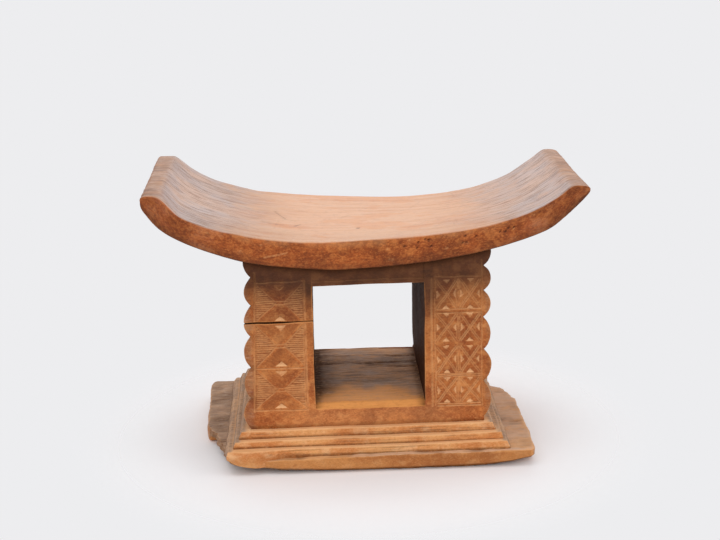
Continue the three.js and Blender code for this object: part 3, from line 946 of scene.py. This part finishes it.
def make_slab():
    """Base slab: weathered, with a broken corner at the front left and a missing one at the rear right."""
    low, high = SLAB_LOW, SLAB_HIGH
    width, thick = high[0] - low[0], high[2]
    xs = spaced((0, 0.006), (0.05, 0.0036), (0.95, 0.006), (1, 0)) * width
    ys = spaced((low[1], 0.5), (low[1] + 8, 1.25), (high[1] - 8, 0.5), (high[1], 0))
    points, sides = box_lattice(xs, ys, spaced((0, 0.9), (thick, 0)))
    radius = 1.5 + 0.6 * noise(points, 10, 61, 2)
    points, edge = round_edges(points, np.maximum(radius, 0.5))
    height = points[:, 2].copy()
    lower_front = smooth(-68, -79, points[:, 1])
    points[:, 1] += 2.6 * smooth(3.6, 0.4, height) * lower_front
    points, broken = shape_slab(points, points[:, 0] / width, thick)
    normals = surface_normals(points, np.vstack(list(sides.values())))

    lifted = smooth(0.0, 1.5, points[:, 2])
    up = smooth(0.6, 0.92, normals[:, 2])
    grain = noise(points, 2.4, 64, 3, (10, 1, 1))
    dents = np.abs(noise(points, 11, 65, 3, (1.6, 1, 1)))
    rough = (0.3 * grain + 0.55 * dents) * up + 0.8 * broken * np.abs(noise(points, 3, 66, 3)) * (1 - up)
    splits = slab_splits(points)
    from_knot = np.hypot(points[:, 0] - SLAB_KNOT[0], points[:, 1] - SLAB_KNOT[1])
    rings = (groove(from_knot - 8.5, 1.6, 0.45) + groove(from_knot - 5, 1.4, 0.3)) * up
    relief = (rough + splits * up + rings) * lifted
    points = hand_cut(points - normals * relief[:, None], normals * lifted[:, None], 0.8)

    front = smooth(0.6, 0.9, -normals[:, 1])
    ends = smooth(0.5, 0.9, np.abs(normals[:, 0]))
    # Painted light: the top is less grey towards the right.
    painted_light_right = smooth(20, 95, points[:, 0] + 12 * noise(points, 22, 69, 2))
    break_face = broken * (1 - up) * (1 - front)
    grey = np.clip(up * smooth(-79, -72, points[:, 1]) * (1 - 0.5 * painted_light_right) + 0.75 * ends, 0, 1)
    grey = np.maximum(grey, break_face)
    # Darker in dents on the top; painted shadow along the front's foot and its lower edge, where the slab
    # meets the floor.
    dirt_and_shade = 0.7 * np.clip(dents - 0.35, 0, 1) * up + 0.5 * front * smooth(4, 0, points[:, 2])
    dirt_and_shade = np.maximum(np.clip(dirt_and_shade, 0, 1), smooth(2.6, 1.2, height) * lower_front)
    dirt_and_shade = np.maximum(dirt_and_shade, 0.6 * break_face)
    wear_shade_and_light = (edge * (0.35 + 0.65 * front), np.clip(splits, 0, 1) * up, 0.1 * broken * (1 - up))
    tones = {"wear_shade_and_light": wear_shade_and_light, "tone": (0.1 * front, grey, dirt_and_shade)}
    add_piece("base_slab", points, sides, tones, materials["slab"])


# ---------------------------------------------------------------- materials

class Nodes:
    """Short names for building one material's nodes."""

    def __init__(self, name):
        self.material = bpy.data.materials.new(name)
        self.material.use_nodes = True
        self.tree = self.material.node_tree
        self.shader = self.tree.nodes["Principled BSDF"]

    def link(self, source, target):
        if isinstance(source, bpy.types.NodeSocket):
            self.tree.links.new(source, target)
        else:
            target.default_value = source

    def math(self, operation, *values, clamp=False):
        node = self.tree.nodes.new("ShaderNodeMath")
        node.operation = operation
        node.use_clamp = clamp
        for value, socket in zip(values, node.inputs):
            self.link(value, socket)
        return node.outputs[0]

    def mix(self, share, a, b):
        node = self.tree.nodes.new("ShaderNodeMix")
        node.data_type = "RGBA"
        self.link(share, node.inputs[0])
        self.link(a, node.inputs[6])
        self.link(b, node.inputs[7])
        return node.outputs[2]

    def ramp(self, value, low, high):
        node = self.tree.nodes.new("ShaderNodeMapRange")
        node.interpolation_type = "SMOOTHSTEP"
        self.link(value, node.inputs["Value"])
        node.inputs["From Min"].default_value = low
        node.inputs["From Max"].default_value = high
        return node.outputs[0]

    def tint(self, colour, share, amount, tone):
        """The colour moved towards a tone, by amount where share is 1."""
        return self.mix(self.math("MULTIPLY", share, amount), colour, tone)

    def layers(self, colour, textures, layers):
        """Lays tones over a colour. A layer is a texture, its low and high, the amount at high and a tone."""
        for name, low, high, amount, tone in layers:
            colour = self.tint(colour, self.ramp(textures[name], low, high), amount, tone)
        return colour

    def attribute(self, name, output):
        node = self.tree.nodes.new("ShaderNodeAttribute")
        node.attribute_name = name
        return node.outputs[output]

    def noise(self, scale, detail, stretch, offset, roughness=0.55):
        place = self.tree.nodes.new("ShaderNodeMapping")
        place.inputs["Location"].default_value = (offset, offset, offset)
        place.inputs["Scale"].default_value = stretch
        self.tree.links.new(self.attribute("grain", "Vector"), place.inputs["Vector"])
        node = self.tree.nodes.new("ShaderNodeTexNoise")
        node.inputs["Scale"].default_value = scale
        node.inputs["Detail"].default_value = detail
        node.inputs["Roughness"].default_value = roughness
        self.tree.links.new(place.outputs[0], node.inputs["Vector"])
        return node.outputs["Fac"]

    def tones(self, name):
        split = self.tree.nodes.new("ShaderNodeSeparateColor")
        self.tree.links.new(self.attribute(name, "Color"), split.inputs[0])
        return split.outputs[0], split.outputs[1], split.outputs[2]

    def facing_up(self):
        geometry = self.tree.nodes.new("ShaderNodeNewGeometry")
        split = self.tree.nodes.new("ShaderNodeSeparateXYZ")
        self.tree.links.new(geometry.outputs["Normal"], split.inputs[0])
        return self.ramp(split.outputs[2], 0.45, 0.92)


def rgb(red, green, blue):
    """Linear colour from 0 to 255 display values."""
    return (*(((c / 255 + 0.055) / 1.055) ** 2.4 for c in (red, green, blue)), 1)


DEEP_SHADOW = rgb(66, 34, 19)
# Colour of dirt and of painted shade.
DIRT_AND_SHADE = rgb(66, 40, 27)
CUT_SHADE = rgb(70, 36, 20)
# Colours of patina and of painted shade.
PATINA_AND_SHADE = (rgb(48, 27, 15), rgb(80, 46, 26))
# Colours of fresh wood and of painted highlight.
FRESH_CUT_AND_HIGHLIGHT = (rgb(228, 164, 106), rgb(238, 184, 132))
GREY_STREAK = rgb(120, 94, 78)
GREY_SCRATCH = rgb(112, 88, 74)
GREY_FIBRE = rgb(118, 90, 72)
GREY_SPECKLE = rgb(214, 196, 184)
PALE_FIBRE = rgb(222, 206, 196)

CARVED_WOOD = {"deep": rgb(164, 84, 36), "middle": rgb(200, 118, 58), "pale": rgb(226, 152, 88), "seed": 2.0,
               "streaked": 0.3, "crisp": 0.22, "patchy": 0.3, "blotchy": 0.2}
# Each wood's colours from deep to pale, when greyed and on its top faces; its roughness and its noise's seed;
# and how streaked, crisply mottled, patchy (on top faces) and blotchy (on upright ones) it is.
WOODS = {
    "seat": {"name": "worn_seat_wood", "deep": rgb(142, 68, 26), "middle": rgb(180, 90, 36),
             "pale": rgb(212, 128, 64), "grey": rgb(190, 176, 174), "top": rgb(218, 174, 142),
             "roughness": 0.52, "seed": 1.0, "streaked": 0.35, "crisp": 0.34, "patchy": 0.25,
             "blotchy": 0.12},
    "carved": {**CARVED_WOOD, "name": "carved_front_wood", "grey": rgb(132, 106, 88),
               "top": rgb(214, 150, 92), "roughness": 0.6},
    # The sill is the carved wood with paler top and grey colours: painted light on the window floor, which
    # the seat shades.
    "sill": {**CARVED_WOOD, "name": "window_sill_wood_painted_light", "grey": rgb(180, 150, 132), "top": rgb(248, 168, 92),
             "roughness": 0.62},
    "plinth": {"name": "plinth_wood", "deep": rgb(206, 128, 68), "middle": rgb(228, 164, 102),
               "pale": rgb(242, 192, 140), "grey": rgb(158, 130, 108), "top": rgb(230, 178, 128),
               "roughness": 0.62, "seed": 3.0, "streaked": 0.2, "crisp": 0.12, "patchy": 0.3, "blotchy": 0.0},
    "slab": {"name": "weathered_slab_wood", "deep": rgb(178, 108, 54), "middle": rgb(206, 138, 76),
             "pale": rgb(224, 164, 106), "grey": rgb(150, 120, 94), "top": rgb(212, 172, 140),
             "roughness": 0.66, "seed": 4.0, "streaked": 0.3, "crisp": 0.14, "patchy": 0.8, "blotchy": 0.0},
}


def wood_textures(n, seed):
    """Noise along the grain, from long streaks to fine fibres, and in patches, from broad to a speckle."""
    return {
        "grain": n.noise(1.0, 7.0, (16, 300, 300), seed, 0.62),
        "fibres": n.noise(1.0, 3.0, (90, 1300, 1300), seed + 3),
        "streaks": n.noise(1.0, 5.0, (22, 420, 420), seed + 7, 0.7),
        "scratches": n.noise(1.0, 3.0, (55, 900, 900), seed + 8, 0.6),
        "patches": n.noise(42, 5.0, (0.7, 1, 1), seed + 1, 0.6),
        "blotches": n.noise(125, 6.0, (0.8, 1, 1), seed + 2, 0.62),
        "mottle": n.noise(420, 4.0, (0.7, 1, 1), seed + 5, 0.6),
        "speckle": n.noise(1150, 3.0, (0.6, 1, 1), seed + 6, 0.7),
    }


def upright_colour(n, textures, wood):
    """Handled, mottled wood on the upright faces."""
    deep, pale, crisp, blotchy = (wood[key] for key in ("deep", "pale", "crisp", "blotchy"))
    shadow = n.mix(0.6, deep, DEEP_SHADOW)
    colour = n.mix(n.ramp(textures["patches"], 0.38, 0.64), deep, wood["middle"])
    return n.layers(colour, textures, [
        ("blotches", 0.5, 0.68, 0.5, pale),
        ("mottle", 0.52, 0.62, crisp, pale),
        ("mottle", 0.47, 0.38, crisp, shadow),
        ("grain", 0.52, 0.66, wood["streaked"], deep),
        ("speckle", 0.53, 0.62, crisp + 0.12, pale),
        ("speckle", 0.47, 0.37, crisp + 0.15, shadow),
        ("patches", 0.47, 0.36, crisp, shadow),
        ("blotches", 0.47, 0.4, blotchy, shadow),
        ("blotches", 0.53, 0.6, blotchy, pale),
    ])


def top_colour(n, textures, wood):
    """Pale worn wood on the faces that face up."""
    return n.layers(wood["top"], textures, [
        ("grain", 0.45, 0.75, 0.45, wood["middle"]),
        ("patches", 0.5, 0.6, wood["patchy"], wood["pale"]),
        ("fibres", 0.55, 0.66, 0.22, wood["middle"]),
        ("mottle", 0.5, 0.36, 0.16, wood["deep"]),
    ])


def grey_colour(n, textures, wood):
    """Weathered wood, streaked and scratched along the grain."""
    return n.layers(wood["grey"], textures, [
        ("patches", 0.4, 0.62, 1.0, n.mix(0.5, wood["grey"], wood["top"])),
        ("streaks", 0.52, 0.64, 0.52, GREY_STREAK),
        ("speckle", 0.5, 0.7, 0.25, GREY_SPECKLE),
        ("scratches", 0.55, 0.63, 0.75, GREY_SCRATCH),
        ("fibres", 0.55, 0.62, 0.35, GREY_FIBRE),
        ("fibres", 0.44, 0.36, 0.3, PALE_FIBRE),
    ])


def wood_material(wood):
    """Old handled wood. The wear tones are arris wear, painted shade, and painted highlight with pale fresh
    wood; the others are patina with painted shade, grey, and dirt with painted shade.
    """
    n = Nodes(wood["name"])
    edge, shade, lit = n.tones("wear_shade_and_light")
    patina_and_shade, weathered, dirt_and_shade = n.tones("tone")
    textures = wood_textures(n, wood["seed"])
    patches, blotches, mottle = (textures[key] for key in ("patches", "blotches", "mottle"))

    colour = n.mix(n.facing_up(), upright_colour(n, textures, wood), top_colour(n, textures, wood))
    uneven = n.math("ADD", n.math("MULTIPLY", patches, 0.6), n.math("MULTIPLY", blotches, 0.4))
    uneven = n.math("ADD", uneven, n.math("MULTIPLY", weathered, 0.35))
    grey_share = n.math("MULTIPLY", weathered, n.ramp(uneven, 0.55, 0.85))
    colour = n.tint(colour, grey_share, 0.92, grey_colour(n, textures, wood))
    # Patina, with painted shade under the seat, on its underside and in the window.
    colour = n.tint(colour, patina_and_shade, 0.9, n.mix(n.ramp(blotches, 0.35, 0.7), *PATINA_AND_SHADE))
    # Dirt, with painted shade in corners, joints and under the seat, and a painted shadow along the slab's
    # front.
    colour = n.tint(colour, n.math("MULTIPLY", dirt_and_shade, n.ramp(mottle, 0.2, 0.55)), 0.8, DIRT_AND_SHADE)
    colour = n.tint(colour, shade, 0.6, CUT_SHADE)
    rubbed = n.ramp(n.math("ADD", patches, n.math("MULTIPLY", mottle, 0.6)), 0.55, 0.95)
    colour = n.tint(colour, n.math("MULTIPLY", edge, rubbed), 0.6, wood["pale"])
    unstained = n.math("SUBTRACT", 1.0, n.math("MULTIPLY", patina_and_shade, 0.8))
    lit_share = n.math("MULTIPLY", n.math("MULTIPLY", lit, unstained), n.ramp(mottle, 0.15, 0.5))
    # Painted highlight on cut walls and painted light on the block's foot and the sill's front, with pale
    # fresh wood in chips, cuts and nicks.
    colour = n.tint(colour, lit_share, 0.9, n.mix(n.ramp(lit, 0.45, 0.95), *FRESH_CUT_AND_HIGHLIGHT))
    n.link(colour, n.shader.inputs["Base Color"])

    rough = n.math("MULTIPLY_ADD", n.ramp(mottle, 0.3, 0.7), 0.16, wood["roughness"] - 0.08)
    rough = n.math("ADD", rough, n.math("MULTIPLY", weathered, 0.16), clamp=True)
    n.link(rough, n.shader.inputs["Roughness"])
    n.link(n.math("MULTIPLY_ADD", dirt_and_shade, -0.21, 0.22), n.shader.inputs["Specular IOR Level"])

    height = n.math("MULTIPLY", textures["grain"], 0.6)
    height = n.math("ADD", height, n.math("MULTIPLY", textures["fibres"], 0.3))
    height = n.math("ADD", height, n.math("MULTIPLY", mottle, 0.5))
    bump = n.tree.nodes.new("ShaderNodeBump")
    bump.inputs["Strength"].default_value = 0.6
    bump.inputs["Distance"].default_value = 0.0006
    n.link(height, bump.inputs["Height"])
    n.link(bump.outputs[0], n.shader.inputs["Normal"])
    return n.material


materials = {name: wood_material(wood) for name, wood in WOODS.items()}


# ---------------------------------------------------------------- build

make_seat()
make_lintel()
make_wall("left_wall_upper", -1, CRACK_Z, seat_under(-60) + 8, ("+z",), 0.36)
make_wall("left_wall_lower", -1, BLOCK_BOTTOM - BURY, CRACK_Z, ("-z",), 0.38)
make_wall("right_wall", 1, BLOCK_BOTTOM - BURY, seat_under(60) + 6, ("-z", "+z"), 0.46)
make_sill()
make_step("plinth_step_bottom", 2.6, 80)
make_step("plinth_step_middle", 1.6, 81)
make_step("plinth_step_top", 2.2, 82)
make_slab()


# ---------------------------------------------------------------- floor, light and camera

FLOOR_SIZE = 12.0
# A hair below the slab, so that the two faces never share a plane.
FLOOR_Z = -0.0002
FLOOR_FADE = (0.11, 0.22)
BACKGROUND = rgb(237, 237, 239)


def make_floor():
    """Pale floor that fades into the background far from the object."""
    half = FLOOR_SIZE / 2
    mesh = bpy.data.meshes.new("floor")
    corners = [(x * half, y * half, FLOOR_Z) for x, y in ((-1, -1), (1, -1), (1, 1), (-1, 1))]
    mesh.from_pydata(corners, [], [(0, 1, 2, 3)])
    floor = bpy.data.objects.new("floor", mesh)
    bpy.context.scene.collection.objects.link(floor)
    n = Nodes("pale_floor")
    n.shader.inputs["Base Color"].default_value = rgb(247, 246, 247)
    n.shader.inputs["Roughness"].default_value = 0.85
    n.shader.inputs["Specular IOR Level"].default_value = 0.1
    clear = n.tree.nodes.new("ShaderNodeBsdfTransparent")
    blend = n.tree.nodes.new("ShaderNodeMixShader")
    coordinate = n.tree.nodes.new("ShaderNodeTexCoord")
    length = n.tree.nodes.new("ShaderNodeVectorMath")
    length.operation = "LENGTH"
    n.tree.links.new(coordinate.outputs["Object"], length.inputs[0])
    n.tree.links.new(n.ramp(length.outputs["Value"], *FLOOR_FADE), blend.inputs[0])
    n.tree.links.new(n.shader.outputs[0], blend.inputs[1])
    n.tree.links.new(clear.outputs[0], blend.inputs[2])
    n.tree.links.new(blend.outputs[0], n.tree.nodes["Material Output"].inputs["Surface"])
    mesh.materials.append(n.material)


def make_world():
    """Even studio light, with a slightly brighter backdrop for the camera."""
    world = bpy.data.worlds.new("studio")
    world.use_nodes = True
    tree = world.node_tree
    seen = tree.nodes["Background"]
    seen.inputs["Color"].default_value = BACKGROUND
    light = tree.nodes.new("ShaderNodeBackground")
    light.inputs["Color"].default_value = rgb(246, 245, 247)
    light.inputs["Strength"].default_value = 0.78
    path = tree.nodes.new("ShaderNodeLightPath")
    blend = tree.nodes.new("ShaderNodeMixShader")
    tree.links.new(path.outputs["Is Camera Ray"], blend.inputs[0])
    tree.links.new(light.outputs[0], blend.inputs[1])
    tree.links.new(seen.outputs[0], blend.inputs[2])
    tree.links.new(blend.outputs[0], tree.nodes["World Output"].inputs["Surface"])
    bpy.context.scene.world = world


def add_area_light(name, place, target, size, power, tint):
    data = bpy.data.lights.new(name, "AREA")
    data.shape = "RECTANGLE"
    data.size, data.size_y = size
    data.energy = power
    data.color = tint
    light = bpy.data.objects.new(name, data)
    light.location = place
    light.rotation_euler = (Vector(target) - Vector(place)).to_track_quat("-Z", "Y").to_euler()
    bpy.context.scene.collection.objects.link(light)


CAMERA_PLACE = (-0.0362, -1.0386, 0.4107)
CAMERA_PAN = math.radians(-1.82)
CAMERA_DOWN = math.radians(15.54)
CAMERA_ROLL = math.radians(-1.355)
CAMERA_LENS = 75


def make_camera():
    data = bpy.data.cameras.new("camera")
    data.lens = CAMERA_LENS
    data.sensor_width = 36
    camera = bpy.data.objects.new("camera", data)
    turn = Matrix.Rotation(CAMERA_PAN, 4, "Z") @ Matrix.Rotation(math.pi / 2 - CAMERA_DOWN, 4, "X")
    camera.matrix_world = Matrix.Translation(CAMERA_PLACE) @ turn @ Matrix.Rotation(CAMERA_ROLL, 4, "Z")
    bpy.context.scene.collection.objects.link(camera)
    bpy.context.scene.camera = camera


make_floor()
make_world()
add_area_light("top_softbox", (-0.2, 0.1, 1.5), (0, 0, 0.1), (1.6, 1.4), 7, (1.0, 0.985, 0.97))
add_area_light("front_softbox", (-0.5, -1.6, 1.0), (0, 0, 0.08), (1.4, 0.9), 6, (1.0, 0.99, 0.98))
add_area_light("right_softbox", (1.5, -0.5, 0.75), (0, 0, 0.05), (1.0, 0.9), 5, (1.0, 0.99, 0.98))
add_area_light("back_softbox", (0.1, 1.7, 0.9), (0, 0, 0.05), (1.4, 0.8), 5, (1.0, 0.99, 0.98))
make_camera()
bpy.context.scene.view_settings.view_transform = "Standard"
